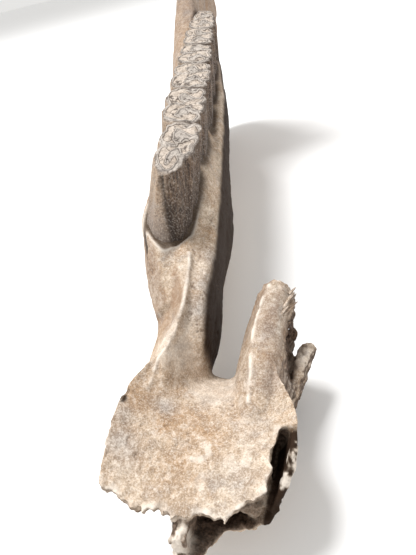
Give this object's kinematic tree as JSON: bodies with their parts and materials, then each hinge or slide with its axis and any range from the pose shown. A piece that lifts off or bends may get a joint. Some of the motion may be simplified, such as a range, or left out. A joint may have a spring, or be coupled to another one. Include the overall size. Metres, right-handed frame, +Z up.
{
  "type": "fossil horse jaw",
  "caption": "Fossil lower jaw of a horse: right half with its cheek teeth, front joint of the two halves broken open, and the snapped stub of the left half.",
  "frame": {"origin": "middle of the jaw's box, on the floor that it rests on", "axes": "+X to the animal's left, +Y towards the back of the jaw, +Z up, as the jaw rests"},
  "size_m": [0.1, 0.3748, 0.2586],
  "materials": {
    "worn_bone": "matt, slightly chalky",
    "tooth": "satin",
    "dark_socket": "matt"
  },
  "bodies": {
    "root": {"symphysis": "worn_bone", "left_stub": "worn_bone", "right_body": "worn_bone", "right_ramus": "worn_bone"}
  },
  "joints": []
}
